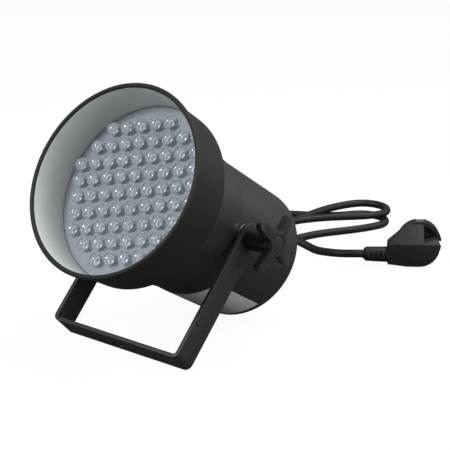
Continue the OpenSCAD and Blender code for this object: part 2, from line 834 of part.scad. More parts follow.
// Straight round bar from one point to another
module rod(from, to, r) {
    d = to - from;
    translate(from) rotate([0, acos(d[2] / norm(d)), atan2(d[1], d[0])]) cylinder(r = r, h = norm(d));
}

module terminal_block() {
    color("#3c6b48") in_can() difference() {
        on_board(terminal_at, terminal_size);
        each_terminal() cylinder(r = terminal_screw_r, h = terminal_screw_h + cut);
    }
}

module terminal_screws() {
    color("silver") in_can() each_terminal() cylinder(r = terminal_screw_r, h = terminal_screw_h);
}

module each_terminal() {
    seat_z = top_z + terminal_size[2] - terminal_screw_h;
    for (k = [-1, 0, 1]) translate([terminal_at[0] + k * terminal_step, terminal_at[1], seat_z]) children();
}

module each_post() {
    for (x = [-1, 1]) for (y = [-1, 1]) translate([x * post_x, supply_y + y * post_y, 0]) children();
}

module supply_board() {
    color("#7a5a2a") in_can() difference() {
        translate([-supply_w / 2, supply_y - supply_h / 2, supply_z]) cube([supply_w, supply_h, board_t]);
        each_post() translate([0, 0, supply_z - cut]) cylinder(r = screw_r, h = board_t + 2 * cut);
    }
}

module board_posts() {
    color("silver") in_can() each_post() difference() {
        translate([0, 0, sheet_t]) cylinder(r = post_r, h = post_h);
        translate([0, 0, top_z - screw_len]) cylinder(r = screw_r, h = screw_len);
    }
}

module board_screws() {
    color("dimgray") in_can() each_post() {
        translate([0, 0, top_z]) cylinder(r = screw_head_r, h = screw_head_h);
        translate([0, 0, top_z - screw_len]) cylinder(r = screw_r, h = screw_len);
    }
}

// Laminated core with two windows
module transformer_core() {
    window_x = (core_limb + core_window[0]) / 2;
    color("#55585a") in_can() difference() {
        on_board(core_at, core_size);
        for (side = [-1, 1]) in_core() translate([side * window_x, 0, 0])
            cube([core_window[0], core_size[1] + 2 * cut, core_window[1]], center = true);
    }
}

// Winding round the middle limb
module transformer_coil() {
    out = 2 * coil_wall;
    room = 2 * coil_room;
    color("#b5652a") in_can() in_core() difference() {
        cube([core_limb + out, core_size[1] + out, core_window[1] - room], center = true);
        cube([core_limb + room, core_size[1] + room, core_window[1] + cut], center = true);
    }
}

module in_core() {
    translate([core_at[0], core_at[1], top_z + core_size[2] / 2]) children();
}

module smoothing_capacitor() {
    color("#2a3350") in_can() translate([capacitor_at[0], capacitor_at[1], top_z])
        cylinder(r = capacitor_r, h = capacitor_h);
}

module driver_transistors() {
    color("#202020") in_can() for (k = [0 : led_colours - 1])
        on_board(transistor_at + [k * transistor_step, 0], transistor_size);
}

module controller_chip() {
    color("#181818") in_can() on_board(chip_at, chip_size);
}

module fuse() {
    color("lightgray") in_can() fuse_bar(fuse_len);
}

module fuse_clips() {
    clip_x = (fuse_len - clip_size[0]) / 2;
    color("gold") in_can() difference() {
        for (side = [-1, 1]) on_board(fuse_at + [side * clip_x, 0], clip_size);
        fuse_bar(fuse_len + 2 * cut);
    }
}

module fuse_bar(length) {
    translate([fuse_at[0] - length / 2, fuse_at[1], fuse_z]) rotate([0, 90, 0])
        cylinder(r = fuse_r, h = length);
}

// Sockets of the ribbon on the two boards
module board_headers() {
    color("ivory") in_can() {
        on_board(header_at, header_size);
        translate([0, 0, board_back_z - header_size[2] - top_z]) on_board(header_at, header_size);
    }
}

module ribbon_cable() {
    low = top_z + header_size[2];
    high = board_back_z - header_size[2];
    color("#8d8f92") in_can() translate([0, 0, low - top_z])
        on_board(header_at, [ribbon_size[0], ribbon_size[1], high - low]);
}

module earth_screw() {
    color("silver") in_can() translate([earth_at[0], earth_at[1], 0]) {
        translate([0, 0, -earth_head_h]) cylinder(r = earth_head_r, h = earth_head_h);
        cylinder(r = earth_screw_r, h = sheet_t + 2 * earth_head_h);
    }
}

module cord_lead() {
    color("#141414") tube(lead_curve, cord_r, tube_sides);
}

module cord_hank() {
    color("#141414") tube(hank_tube, cord_r, tube_sides);
}

module cord_tail() {
    color("#141414") tube(tail_curve, cord_r, tube_sides);
}

// Round bar along the pins of the plug
module plug_bar(from, to, r) {
    translate([0, to, 0]) rotate([90, 0, 0]) cylinder(r = r, h = to - from);
}

// Angled plug: round face, grip with a finger hollow, neck to the strain relief
module plug_body() {
    color("#1b1c1c") in_plug() difference() {
        union() {
            plug_bar(plug_back, plug_face, plug_r);
            intersection() {
                plug_slab(grip_back, plug_back) {
                    translate([grip_shift, 0]) circle(grip_r);
                    polygon(grip_outline);
                }
                grip_wedge();
            }
        }
        plug_slab(grip_back - cut, plug_back) polygon(grip_hollow);
        plug_slab(plug_back - cut, plug_back + hollow_deep) intersection() {
            circle(hollow_r);
            polygon(grip_hollow);
        }
        for (side = [-1, 1]) {
            translate([side * plug_r, (plug_back + plug_face) / 2, 0])
                cube([2 * guide_size[0], plug_face - plug_back + 2 * cut, guide_size[1]], center = true);
            translate([0, plug_face - clip_len / 2 + cut, side * plug_r])
                cube([clip_w, clip_len + 2 * cut, 2 * clip_deep], center = true);
        }
        each_pin() plug_bar(plug_back, plug_face + cut, pin_root_r);
    }
}

// Side view of the grip: upright up to a ridge, then leaning to the top of the face
module grip_wedge() {
    rotate([90, 0, 90]) linear_extrude(height = grip_span, center = true)
        polygon([[plug_back, -plug_r], [grip_back, -plug_r], [grip_back, ridge_z], [plug_back, grip_r]]);
}

// Flat outline, seen along the pins, given a thickness
module plug_slab(from, to) {
    translate([0, to, 0]) rotate([90, 0, 0]) linear_extrude(height = to - from) children();
}

// Strain relief that thins toward the lead, slotted on two sides
module plug_relief() {
    step = relief_len / (relief_grooves + 1);
    function relief_r(z) = relief_root_r + (relief_tip_r - relief_root_r) * z / relief_len;
    nose_z = relief_len - relief_nose;
    color("#1b1c1c") in_plug() translate([relief_x, relief_back, -relief_drop]) rotate([0, -90, 0])
        difference() {
            rotate_extrude() polygon([[0, 0], [relief_root_r, 0], [relief_r(nose_z), nose_z],
                [cord_r + relief_lip, relief_len], [0, relief_len]]);
            for (k = [1 : relief_grooves], side = [-1, 1])
                translate([0, side * relief_root_r, k * step - step / 2])
                    cube([2 * groove_half, 2 * groove_deep, groove_w], center = true);
        }
}

module plug_pins() {
    round_y = plug_face + pin_len - pin_d / 2;
    color("silver") in_plug() each_pin() {
        plug_bar(plug_back, plug_face, pin_root_r);
        plug_bar(plug_back, round_y, pin_d / 2);
        translate([0, round_y, 0]) sphere(pin_d / 2);
    }
}

module each_pin() {
    for (side = [-1, 1]) translate([side * pin_gap / 2, 0, 0]) children();
}

module plug_earth_clips() {
    color("silver") in_plug() for (side = [-1, 1])
        translate([0, plug_face - clip_len / 2, side * (plug_r - clip_deep + clip_t / 2)])
            cube([clip_w, clip_len, clip_t], center = true);
}

hood();
shoulder_ring();
barrel();
rear_can();
led_plate();
led_board();
red_leds();
green_leds();
blue_leds();
led_resistors();
plate_posts();
plate_screws();
pivot_inserts();
pivot_bushes();
yoke_crossbar();
yoke_arm_left();
yoke_arm_right();
clamp_washers();
knob_left();
knob_right();
knob_left_cap();
knob_right_cap();
knob_left_stud();
knob_right_stud();
blank_label();
gland_body();
gland_locknut();
gland_cap();
cable_end();
mains_wires();
terminal_block();
terminal_screws();
supply_board();
board_posts();
board_screws();
transformer_core();
transformer_coil();
smoothing_capacitor();
driver_transistors();
controller_chip();
fuse();
fuse_clips();
board_headers();
ribbon_cable();
earth_screw();
cord_lead();
cord_hank();
cord_tail();
plug_body();
plug_relief();
plug_pins();
plug_earth_clips();
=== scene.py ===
# %% [markdown]
# # A short stage spotlight
#
# The real object is a black sheet-metal can with a flared hood, 69 clear lamps on a grey plate, a yoke of
# flat bar, two star knobs, and a mains lead that lies behind it in a loose hank. The solids come from CAD
# and stay where they are. This lesson gives them rounded edges, finishes, light and a camera.
#
# The frame is loaded first.

# %% Load the frame
import json
import math

import bmesh
import bpy
from mathutils import Matrix, Vector


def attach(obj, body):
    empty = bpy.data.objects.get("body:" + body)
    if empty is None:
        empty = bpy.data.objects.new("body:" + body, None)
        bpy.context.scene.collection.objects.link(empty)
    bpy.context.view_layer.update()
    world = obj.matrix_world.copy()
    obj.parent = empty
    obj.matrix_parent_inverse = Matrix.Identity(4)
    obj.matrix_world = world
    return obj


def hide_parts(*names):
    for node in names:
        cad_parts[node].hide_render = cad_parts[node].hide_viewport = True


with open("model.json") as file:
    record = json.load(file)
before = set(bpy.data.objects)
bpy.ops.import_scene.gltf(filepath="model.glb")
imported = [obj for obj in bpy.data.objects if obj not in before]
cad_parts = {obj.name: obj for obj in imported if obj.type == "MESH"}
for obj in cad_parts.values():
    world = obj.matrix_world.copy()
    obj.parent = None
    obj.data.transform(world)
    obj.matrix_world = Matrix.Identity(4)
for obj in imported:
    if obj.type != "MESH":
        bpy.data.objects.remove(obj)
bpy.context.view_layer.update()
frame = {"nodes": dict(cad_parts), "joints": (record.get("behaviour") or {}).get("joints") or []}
MM = 0.001

# %% [markdown]
# ## Camera
#
# The photograph was taken from the front right, a little above the light, with a long lens: the ellipses of
# the rim and of the rear edge are nearly alike. The place and the turn of the camera were worked out from
# those ellipses. A camera can also be aimed with a constraint, but plain angles keep the slight roll.

# %% Place the camera
camera = bpy.data.objects.new("photo_camera", bpy.data.cameras.new("photo_camera"))
camera.data.sensor_width = 36.0
camera.data.lens = 120.0
camera.location = (0.66315, -0.77982, 0.39245)
camera.rotation_euler = [math.radians(a) for a in (73.0885, -1.1652, 38.7528)]
bpy.context.scene.collection.objects.link(camera)
bpy.context.scene.camera = camera
bpy.context.scene.view_settings.view_transform = "Standard"
print("camera at", [round(x, 3) for x in camera.location])

# %% [markdown]
# ## Places on the can
#
# The can is tilted, so every turned piece is drawn upright along Z and then moved by one matrix: down to the
# pivot, turned about X, and up to the height of the pivot. The pivot comes from the joint of the frame.

# %% The can's own frame
pivot = Vector(next(j["pos_m"] for j in frame["joints"] if j["name"] == "yoke_tilt"))
TILT = math.radians(30.7)
CAN_LEN, PIVOT_Z = 170.0, 77.5
turn_up = Matrix.Rotation(math.pi / 2 - TILT, 4, "X")
CAN = Matrix.Translation(pivot) @ turn_up @ Matrix.Translation((0, 0, -PIVOT_Z * MM))
print("rim centre at", [round(x, 4) for x in CAN @ Vector((0, 0, CAN_LEN * MM))])

# %% [markdown]
# ## Route of the mains lead
#
# A lead is a fixed length of something flexible. It leaves the gland at the rear, drops to the floor, runs
# round behind the can into a hank of stretched loops that narrow at the waist, and comes out to the plug.
# The route repeats the points of the CAD solids, in millimetres. A curve with a round bevel is the natural
# way to make a cord, because the curve's own line is the centre of the cord.

# %% Points of the lead, the hank and the tail
CORD_D = 6.8
STRAIGHT = CORD_D
LEAD_POINTS = [(-0.4, 99.8, 6.65), (-1.5, 109.8, 4.5), (-5.8, 122, 3.5), (-16.9, 136.8, 3.5), (-38, 147, 3.45),
               (-66, 149, 3.45), (-94, 151, 3.45), (-120, 161, 3.45), (-137, 183, 3.45), (-143, 210, 3.45),
               (-141, 240, 3.45), (-131, 267, 3.45), (-114, 287, 3.45)]
TAIL_POINTS = [(-79.4, 248.8, 11), (-78.6, 237.8, 11), (-73.6, 227.6, 11.1), (-64.8, 219.7, 11.2),
               (-53.3, 215.8, 10.2), (-36.3, 215.6, 6.5), (-25.7, 213.9, 5.1), (-12.7, 210.6, 7.2), (-3.8, 210, 8.4),
               (4.6, 212, 9.3)]
HANK_AT, HANK_TURN = Vector((-69, 258, CORD_D / 2)), math.radians(72)
HANK_HALF, BEND_R, PITCH = 66.0, 20.5, CORD_D + 0.8
WAIST, WAIST_LEN = 8.0, 28.0
SHIFT = Vector((7, 7, 0))
JOIN, LEAVE, INWARD = (25.0, 10.0), 12.0, 20.0
PLUG_AT, PLUG_TURN, PLUG_R = Vector((49.3, 256.4, 0)), math.radians(38.4), 18.0
RELIEF_X, RELIEF_BACK, RELIEF_LEN, RELIEF_DROP = -27.4, -8.5, 20.0, 8.0
GLAND_LEN, GLAND_DROP = 22.0, 20.0
PLUG = Matrix.Translation(PLUG_AT + Vector((0, 0, PLUG_R))) @ Matrix.Rotation(PLUG_TURN, 4, "Z")


def steps(count):
    """Even shares from 0 up to, but without, 1."""
    return [k / count for k in range(count)]


def smooth_route(points, count):
    """Catmull-Rom curve through the points."""
    route = []
    for i in range(len(points) - 1):
        a, b = points[max(i - 1, 0)], points[i]
        c, d = points[i + 1], points[min(i + 2, len(points) - 1)]
        route += [(2 * b + (c - a) * t + (2 * a - 5 * b + 4 * c - d) * t ** 2
                   + (3 * b - a - 3 * c + d) * t ** 3) / 2 for t in steps(count)]
    return route + [points[-1]]


print("points given:", len(LEAD_POINTS) + len(TAIL_POINTS))

# %% [markdown]
# ## The hank
#
# The hank is drawn flat, along its own X, and then turned into place. Its first loop lies on the floor and the
# second climbs on to it along the rear run, so that no two runs share a place. Each function below gives a point
# at share t of one run or bend.

# %% Loops of the hank
CLIMB_RATE, CLIMB_WAIT = 1.4, 0.1
HANK_STEPS = 18


def ease(t):
    """Share t with a soft start and end."""
    u = min(max(t, 0), 1)
    return u * u * (3 - 2 * u)


def half_width(a):
    """Half width of the hank at a, which is least at the waist."""
    return BEND_R - WAIST * math.exp(-(a / WAIST_LEN) ** 2)


def bend(t, end):
    """Half circle at one end of the hank: end is 1 or -1."""
    return end * Vector((HANK_HALF + BEND_R * math.sin(math.pi * t), BEND_R * math.cos(math.pi * t), 0))


def front_run(t):
    a = HANK_HALF * (1 - 2 * t)
    return Vector((a, -half_width(a), 0))


def rear_run(t):
    a, climb = HANK_HALF * (2 * t - 1), ease(CLIMB_RATE * t - CLIMB_WAIT)
    return Vector((a, half_width(a), climb * PITCH)) + climb * SHIFT


def last_run(t):
    start = HANK_HALF + SHIFT.x
    return Vector((start + (LEAVE - start) * t, SHIFT.y - BEND_R + INWARD * ease(t), PITCH))


def joining_run(t):
    return Vector((HANK_HALF - JOIN[0] * (1 - t), BEND_R + JOIN[1] * (1 - t) ** 2, 0))


up = SHIFT + Vector((0, 0, PITCH))
flat = [joining_run(t) for t in steps(HANK_STEPS // 3)]
flat += [bend(t, 1) for t in steps(HANK_STEPS)] + [front_run(t) for t in steps(HANK_STEPS)]
flat += [bend(t, -1) for t in steps(HANK_STEPS)] + [rear_run(t) for t in steps(HANK_STEPS)]
flat += [bend(t, 1) + up for t in steps(HANK_STEPS)] + [last_run(t) for t in steps(HANK_STEPS // 2) + [1.0]]
hank = [HANK_AT + Matrix.Rotation(HANK_TURN, 3, "Z") @ p for p in flat]
print("points of the hank:", len(hank))

# %% Join the route and sweep the cord
gland_exit = CAN @ Vector((0, -GLAND_DROP * MM, -GLAND_LEN * MM)) / MM
gland_way = (turn_up @ Vector((0, 0, -1))).normalized()
relief_end = PLUG @ Vector((RELIEF_X - RELIEF_LEN, RELIEF_BACK, -RELIEF_DROP))
relief_way = (PLUG.to_3x3() @ Vector((1, 0, 0))).normalized()
into, out = (hank[1] - hank[0]).normalized(), (hank[-1] - hank[-2]).normalized()
lead_end, tail_start = hank[0] - STRAIGHT * into, hank[-1] + STRAIGHT * out
lead_bends = ([gland_exit, gland_exit + STRAIGHT * gland_way] + [Vector(p) for p in LEAD_POINTS]
              + [lead_end - STRAIGHT * into, lead_end])
tail_bends = ([tail_start, tail_start + STRAIGHT * out] + [Vector(p) for p in TAIL_POINTS]
              + [relief_end - STRAIGHT * relief_way, relief_end])
ROUTE_STEPS, RELAX_PASSES = 5, 6
route = smooth_route(lead_bends, ROUTE_STEPS) + hank + smooth_route(tail_bends, ROUTE_STEPS)
# A stiff sheath evens its bends: each pass moves a point half way to the middle of its neighbours.
for _ in range(RELAX_PASSES):
    inner = [(a + 2 * b + c) / 4 for a, b, c in zip(route, route[1:], route[2:])]
    route = route[:2] + inner[1:-1] + route[-2:]
route = [Vector((p.x, p.y, max(p.z, CORD_D / 2))) * MM for p in route]

cord_curve = bpy.data.curves.new("mains_cord", "CURVE")
cord_curve.dimensions = "3D"
# A bevel of 1 m, which the radius of each point scales down to the cord.
cord_curve.bevel_depth = 1.0
cord_curve.bevel_resolution = 4
cord_curve.use_fill_caps = True
cord_line = cord_curve.splines.new("POLY")
cord_line.points.add(len(route) - 1)
for point, place in zip(cord_line.points, route):
    point.co = (*place, 1.0)
    point.radius = CORD_D / 2 * MM
mains_cord = bpy.data.objects.new("mains_cord", cord_curve)
bpy.context.scene.collection.objects.link(mains_cord)
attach(mains_cord, "can")
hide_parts("cord_lead", "cord_hank", "cord_tail")

# %% [markdown]
# ## How the finishes are made
#
# Every finish is a small node tree on a Principled shader. Colours are written as on a screen, and one
# function turns them into the linear values that the shader needs. One more function adds a node, sets its
# values and joins its inputs. Patterns read Object coordinates, and their scale comes from a size in
# millimetres: a noise of scale 1000 / 2 has spots about 2 mm wide.

# %% Colour and node helpers
def linear(colour):
    """sRGB hex to linear RGBA."""
    parts = [int(colour[i:i + 2], 16) / 255 for i in (1, 3, 5)]
    return tuple(c / 12.92 if c <= 0.04045 else ((c + 0.055) / 1.055) ** 2.4 for c in parts) + (1.0,)


def add(tree, kind, settings=None, links=None):
    """Add a node, set its sockets or properties, and join sockets to it."""
    node = tree.nodes.new(kind)
    for name, value in (settings or {}).items():
        if isinstance(name, int) or name in node.inputs:
            node.inputs[name].default_value = value
        else:
            setattr(node, name, value)
    for name, socket in (links or {}).items():
        tree.links.new(socket, node.inputs[name])
    return node


def fresh_tree(name, owner):
    """New material or world with an empty node tree."""
    made = owner.new(name)
    made.use_nodes = True
    made.node_tree.nodes.clear()
    return made, made.node_tree


def seen_rays(tree, kinds):
    """Greatest of the named light-path outputs."""
    rays = add(tree, "ShaderNodeLightPath")
    value = rays.outputs[kinds[0]]
    for kind in kinds[1:]:
        value = add(tree, "ShaderNodeMath", {"operation": "MAXIMUM"}, {0: value, 1: rays.outputs[kind]}).outputs[0]
    return value


WHITE, EYE_RAYS = linear("#ffffff"), ["Is Camera Ray", "Is Transmission Ray"]
print("black in linear light:", [round(c, 4) for c in linear("#202221")[:3]])

# %% [markdown]
# ## One recipe for paint, plastic and metal
#
# Paint, mouldings and plated metal differ in colour, gloss and grain, but their unevenness is alike: a fine
# relief that scatters the highlight, and slow clouds where tone and gloss drift a little from handling. So one
# recipe with five numbers serves them all. The clouds are a dozen grains wide.

# %% The recipe
CLOUD_GRAINS = 12


def finish(name, dark, light, grain, rough, relief, **shader):
    """Two close tones, spots of one size in mm, a span of roughness, and a fine relief in mm."""
    material, tree = fresh_tree(name, bpy.data.materials)
    place = add(tree, "ShaderNodeTexCoord").outputs["Object"]
    spots = add(tree, "ShaderNodeTexNoise", {"Scale": 1 / (grain * MM), "Detail": 3.0}, {"Vector": place})
    clouds = add(tree, "ShaderNodeTexNoise", {"Scale": 1 / (CLOUD_GRAINS * grain * MM), "Detail": 4.0},
                 {"Vector": place})
    tone = add(tree, "ShaderNodeMix", {"data_type": "RGBA", 6: linear(dark), 7: linear(light)},
               {0: clouds.outputs["Fac"]})
    gloss = add(tree, "ShaderNodeMapRange", {"To Min": rough[0], "To Max": rough[1]},
                {"Value": clouds.outputs["Fac"]})
    bump = add(tree, "ShaderNodeBump", {"Strength": 1.0, "Distance": relief * MM},
               {"Height": spots.outputs["Fac"]})
    surface = add(tree, "ShaderNodeBsdfPrincipled", shader, {
        "Base Color": tone.outputs[2], "Roughness": gloss.outputs["Result"], "Normal": bump.outputs["Normal"]})
    add(tree, "ShaderNodeOutputMaterial", {}, {"Surface": surface.outputs["BSDF"]})
    return material


print("clouds on a grain of 1 mm:", CLOUD_GRAINS, "mm")

# %% Finishes of the outside
DULL = {"Specular IOR Level": 0.3}
# Baked enamel on sheet steel: nearly black, with a broad soft sheen from a faint orange-peel ripple.
enamel = finish("baked_black_enamel", "#191c18", "#20231f", 0.9, (0.48, 0.58), 0.012)
# Enamel on the hood: darker than the can's and dull, so that it hardly answers the light.
hood_enamel = finish("matt_black_enamel", "#131612", "#191c18", 0.9, (0.55, 0.65), 0.015, **DULL)
# Thin grey paint inside the hood: even and dull, so that it takes the tone of the light.
lining = finish("grey_hood_lining", "#d8dbdc", "#e1e4e5", 1.2, (0.5, 0.6), 0.008)
# Grey paint on the lamp plate: dull. Its colour is darker than the lining's as a painted shade, which offsets the
# front box that it faces.
plate_with_painted_shade = finish("grey_plate_with_painted_shade", "#80868d", "#898f96", 0.8, (0.5, 0.6), 0.008)
# Extruded PVC sheath: soft black with a satin line of light along it.
sheath = finish("extruded_black_pvc", "#0d0e0d", "#131513", 0.6, (0.45, 0.55), 0.02, **DULL)
# Moulded PVC of the plug: black with a fine spark-eroded texture that dulls it.
plug_pvc = finish("moulded_black_pvc", "#121412", "#181b18", 0.5, (0.48, 0.58), 0.02, **DULL)
# Moulded glass-filled nylon of the knobs: black and a little glossier on its rounded edges.
knob_nylon = finish("moulded_black_nylon", "#1c1e1b", "#252824", 0.4, (0.26, 0.36), 0.012)
# Matt nylon of the cable gland: plain black.
gland_nylon = finish("matt_black_nylon", "#141515", "#1b1c1c", 0.5, (0.5, 0.6), 0.02)
# Moulded rubber washers: black that hardly shines.
rubber = finish("moulded_black_rubber", "#121212", "#1a1a1a", 0.5, (0.7, 0.8), 0.03)
# Zinc plating on turned steel: bright, slightly bluish, with a fine grain.
zinc = finish("zinc_plated_steel", "#a9adae", "#c3c7c7", 0.6, (0.22, 0.35), 0.004, Metallic=1.0)
# Nickel plating on stamped brass: greyer and warmer than zinc, dulled by use.
nickel = finish("dull_nickel_plating", "#8d8a84", "#a19e97", 0.5, (0.3, 0.42), 0.004, Metallic=1.0)
# Grey foil label with nothing on it: a smooth satin skin. Its pale colour is partly painted light, for the light that
# the floor throws up on the underside of the can.
label_with_painted_bounce = finish("grey_label_with_painted_bounce", "#d2d5d3", "#dadddb", 0.5, (0.42, 0.5), 0.004)
mains_cord.data.materials.append(sheath)
print("finishes so far:", len(bpy.data.materials))

# %% Finishes of the inside
# Rolled copper frame with a silver flash, inside a lamp: pale and satin.
lead_frame = finish("silvered_lead_frame", "#c9ccd0", "#d8dbde", 0.5, (0.45, 0.55), 0.002, Metallic=0.6)
# Milky resin in the foot of a lamp: pale grey, it hides the board behind.
foot_resin = finish("milky_foot_resin", "#a4aab1", "#aeb4bb", 0.6, (0.4, 0.5), 0.004)
# Green solder mask over glass cloth: smooth and glossy.
green_mask = finish("green_solder_mask", "#1c5632", "#23663c", 0.7, (0.3, 0.4), 0.006)
# Pressed phenolic paper: brown with a dull face.
brown_board = finish("brown_phenolic_board", "#6e5126", "#80602f", 0.6, (0.45, 0.55), 0.01)
# Moulding epoxy of chips: black with a fine matt grain.
chip_epoxy = finish("black_moulding_epoxy", "#161616", "#202020", 0.3, (0.5, 0.65), 0.008)
# Extruded PVC on the inner wires: brown, satin.
wire_pvc = finish("brown_wire_pvc", "#5a3418", "#6c4122", 0.4, (0.4, 0.5), 0.008)
# Moulded nylon of the terminal block: dull green.
terminal_nylon = finish("green_terminal_nylon", "#34603f", "#407149", 0.5, (0.4, 0.5), 0.01)
# Varnished stack of iron sheets: dark grey metal with a rough edge.
core_iron = finish("varnished_core_iron", "#4b4e50", "#606467", 0.5, (0.35, 0.5), 0.02, Metallic=1.0)
# Enamelled copper winding: warm metal with a strong grain from the turns.
copper = finish("enamelled_copper_wire", "#9a5322", "#b9682e", 0.4, (0.25, 0.35), 0.05, Metallic=1.0)
# Shrunk PVC sleeve of the capacitor: dark blue and glossy.
sleeve = finish("blue_shrink_sleeve", "#242c46", "#303a5a", 0.6, (0.2, 0.3), 0.006)
# Drawn glass of the fuse: pale and very smooth.
fuse_glass = finish("drawn_fuse_glass", "#c4cccc", "#d6dcdc", 0.6, (0.03, 0.08), 0.001)
# Stamped brass clips: yellow metal, bright where it was sheared.
brass = finish("stamped_brass", "#b09a62", "#c8b27a", 0.5, (0.2, 0.3), 0.003, Metallic=1.0)
# Moulded nylon of the headers: ivory, satin.
header_nylon = finish("ivory_header_nylon", "#cfc9b4", "#ddd8c6", 0.5, (0.4, 0.5), 0.006)
# Ribbon of bonded wires: grey PVC, dull.
ribbon_pvc = finish("grey_ribbon_pvc", "#82868a", "#94989c", 0.5, (0.45, 0.55), 0.01)
print("finishes:", len(bpy.data.materials))

# %% [markdown]
# ## Lamp epoxy
#
# The lamps are cast from clear epoxy, but so many domes in front of a grey plate look milky: each one sends the
# grey of its neighbours on. A Principled shader that is mostly see-through and slightly blue-grey gives that
# look, and its smooth face keeps the small glints sharp. Clear domes hardly darken the plate below them, so rays
# that only carry light there pass straight through.

# %% Cast epoxy
HAZE_SIZE = 6.0
epoxy, tree = fresh_tree("cast_lamp_epoxy", bpy.data.materials)
place = add(tree, "ShaderNodeTexCoord").outputs["Object"]
haze = add(tree, "ShaderNodeTexNoise", {"Scale": 1 / (HAZE_SIZE * MM), "Detail": 2.0}, {"Vector": place})
milk = add(tree, "ShaderNodeMix", {"data_type": "RGBA", 6: linear("#adb3bb"), 7: linear("#b9bfc7")},
           {0: haze.outputs["Fac"]})
shine = add(tree, "ShaderNodeMapRange", {"To Min": 0.02, "To Max": 0.05}, {"Value": haze.outputs["Fac"]})
cast = add(tree, "ShaderNodeBsdfPrincipled", {"Transmission Weight": 0.85, "IOR": 1.52}, {
    "Base Color": milk.outputs[2], "Roughness": shine.outputs["Result"]})
clear = add(tree, "ShaderNodeBsdfTransparent", {"Color": WHITE})
passing = seen_rays(tree, ["Is Shadow Ray", "Is Diffuse Ray"])
mixed = add(tree, "ShaderNodeMixShader", {}, {0: passing, 1: cast.outputs["BSDF"], 2: clear.outputs["BSDF"]})
add(tree, "ShaderNodeOutputMaterial", {}, {"Surface": mixed.outputs[0]})
print("epoxy nodes:", len(tree.nodes))

# %% [markdown]
# ## Pieces
#
# Each new piece is a mesh at the origin whose place is in its points. A piece names the body that it rides on,
# the solids that it stands for and its finishes. Three helpers shape most of them: one turns a half
# section about the axis, one bores a hole, and one rounds the edges of a copy of CAD solids.

# %% Make a piece from a bmesh
SHARP = math.radians(35)
# Points closer than WELD, in m, are merged. Faces that turn less than FLAT become one, and edges that turn more
# than CREASE are rounded.
WELD, FLAT, CREASE = 1e-6, math.radians(1), math.radians(30)
# A face looks a certain way when its normal has at least this share along it.
FACING = 0.9
ROUND_STEPS = 6
UPRIGHT = Matrix.Identity(4)


def piece(name, bm, body, materials, nodes):
    """Object from a bmesh, on a body, in place of the named solids."""
    mesh = bpy.data.meshes.new(name)
    bm.to_mesh(mesh)
    bm.free()
    if "custom_normal" in mesh.attributes:
        mesh.attributes.remove(mesh.attributes["custom_normal"])
    mesh.polygons.foreach_set("use_smooth", [True] * len(mesh.polygons))
    mesh.set_sharp_from_angle(angle=SHARP)
    for material in materials:
        mesh.materials.append(material)
    made = bpy.data.objects.new(name, mesh)
    bpy.context.scene.collection.objects.link(made)
    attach(made, body)
    if nodes:
        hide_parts(*nodes)
    print(name, "faces:", len(mesh.polygons))
    return made


def spun(corners, closed=True, around=128, place=CAN):
    """Turn a half section about Z. Each corner is radius, height and rounding in mm."""
    bm = bmesh.new()
    verts = [bm.verts.new((r * MM, 0, z * MM)) for r, z, _ in corners]
    for pair in list(zip(verts, verts[1:])) + ([(verts[-1], verts[0])] if closed else []):
        bm.edges.new(pair)
    for size in sorted({c[2] for c in corners if c[2] > 0}):
        corner = [v for v, c in zip(verts, corners) if c[2] == size]
        bmesh.ops.bevel(bm, geom=corner, offset=size * MM, offset_type="OFFSET", segments=ROUND_STEPS,
                        profile=0.5, affect="VERTICES", clamp_overlap=False, material=-1)
    bmesh.ops.spin(bm, geom=bm.verts[:] + bm.edges[:], axis=(0, 0, 1), cent=(0, 0, 0), angle=2 * math.pi,
                   steps=around, use_merge=True)
    bmesh.ops.remove_doubles(bm, verts=bm.verts, dist=WELD)
    bmesh.ops.recalc_face_normals(bm, faces=bm.faces)
    bmesh.ops.transform(bm, matrix=place, verts=bm.verts)
    return bm


def bored(bm, centre, radius, around=64, length=200.0):
    """Cut a round hole along X right through a bmesh, by a Boolean on two objects that are then removed."""
    drill = bmesh.new()
    bmesh.ops.create_cone(drill, cap_ends=True, segments=around, radius1=radius * MM, radius2=radius * MM,
                          depth=length * MM,
                          matrix=Matrix.Translation(centre) @ Matrix.Rotation(math.pi / 2, 4, "Y"))
    both = []
    for source in (bm, drill):
        mesh = bpy.data.meshes.new("blank")
        source.to_mesh(mesh)
        source.free()
        both.append(bpy.data.objects.new("blank", mesh))
        bpy.context.scene.collection.objects.link(both[-1])
    cut = both[0].modifiers.new("bore", "BOOLEAN")
    cut.object, cut.operation, cut.solver = both[1], "DIFFERENCE", "EXACT"
    out = bmesh.new()
    out.from_object(both[0], bpy.context.evaluated_depsgraph_get())
    for blank in both:
        bpy.data.objects.remove(blank)
    return out


def eased(nodes, width, segments=3, join_x=None):
    """Merged copy of CAD solids with its sharp edges rounded. Solids that meet at x = join_x become one."""
    bm = bmesh.new()
    for node in nodes:
        bm.from_mesh(frame["nodes"][node].data)
    if join_x:
        inner = [f for f in bm.faces if abs(f.normal.x) > FACING
                 and all(abs(abs(v.co.x) - join_x) < 10 * WELD for v in f.verts)]
        bmesh.ops.delete(bm, geom=inner, context="FACES")
    bmesh.ops.remove_doubles(bm, verts=bm.verts, dist=WELD)
    bmesh.ops.dissolve_limit(bm, angle_limit=FLAT, verts=bm.verts, edges=bm.edges)
    sharp = [e for e in bm.edges if len(e.link_faces) == 2 and e.calc_face_angle() > CREASE]
    bmesh.ops.bevel(bm, geom=sharp, offset=width * MM, offset_type="OFFSET", segments=segments, profile=0.5,
                    affect="EDGES", clamp_overlap=True, material=-1)
    bmesh.ops.remove_doubles(bm, verts=bm.verts, dist=WELD)
    return bm


print("edges sharper than", round(math.degrees(SHARP)), "degrees stay sharp")

